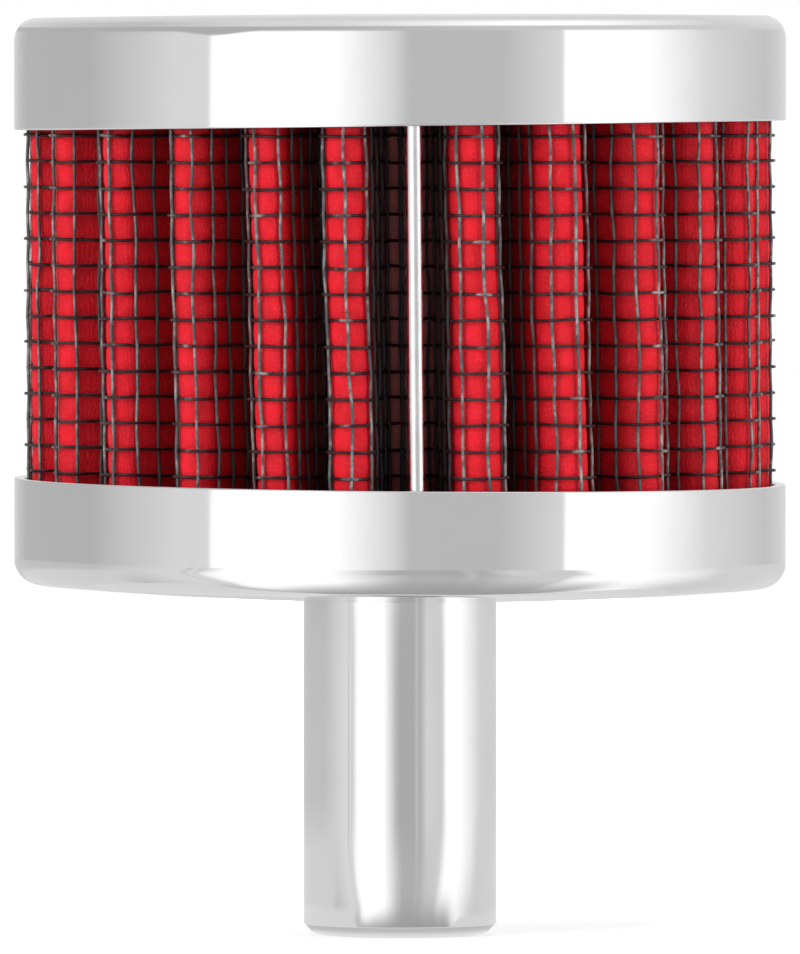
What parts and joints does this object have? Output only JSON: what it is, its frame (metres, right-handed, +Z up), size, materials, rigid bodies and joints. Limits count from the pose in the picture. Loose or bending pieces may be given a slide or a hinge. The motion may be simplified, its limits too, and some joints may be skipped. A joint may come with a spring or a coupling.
{
  "type": "crankcase breather filter",
  "caption": "Round push-in engine breather: two chromed steel cups hold a red pleated cotton gauze ring with wire screens, on a straight chromed vent tube.",
  "frame": {"origin": "centre of the vent tube's open lower end, which is the lowest point", "axes": "+Z up along the tube to the top cap; the front of the filter, with the seam of the pack, faces -Y"},
  "size_m": [0.0508, 0.0508, 0.0606],
  "materials": {
    "chrome_plate": "mirror plated, on drawn steel",
    "chrome_tube": "mirror plated, with faint drawing lines along the tube",
    "cotton_gauze": "layered open weave, damp with red filter oil",
    "coated_wire": "charcoal satin coating on woven wire",
    "bright_strip": "bright rolled",
    "set_adhesive": "smooth poured, set firm"
  },
  "bodies": {
    "root": {"top_cap": "chrome_plate", "base_cap": "chrome_plate", "vent_tube": "chrome_tube", "gauze_pleats": "cotton_gauze", "outer_screen": "coated_wire", "inner_screen": "coated_wire", "seam_clip": "bright_strip", "top_potting": "set_adhesive", "base_potting": "set_adhesive"}
  },
  "joints": []
}
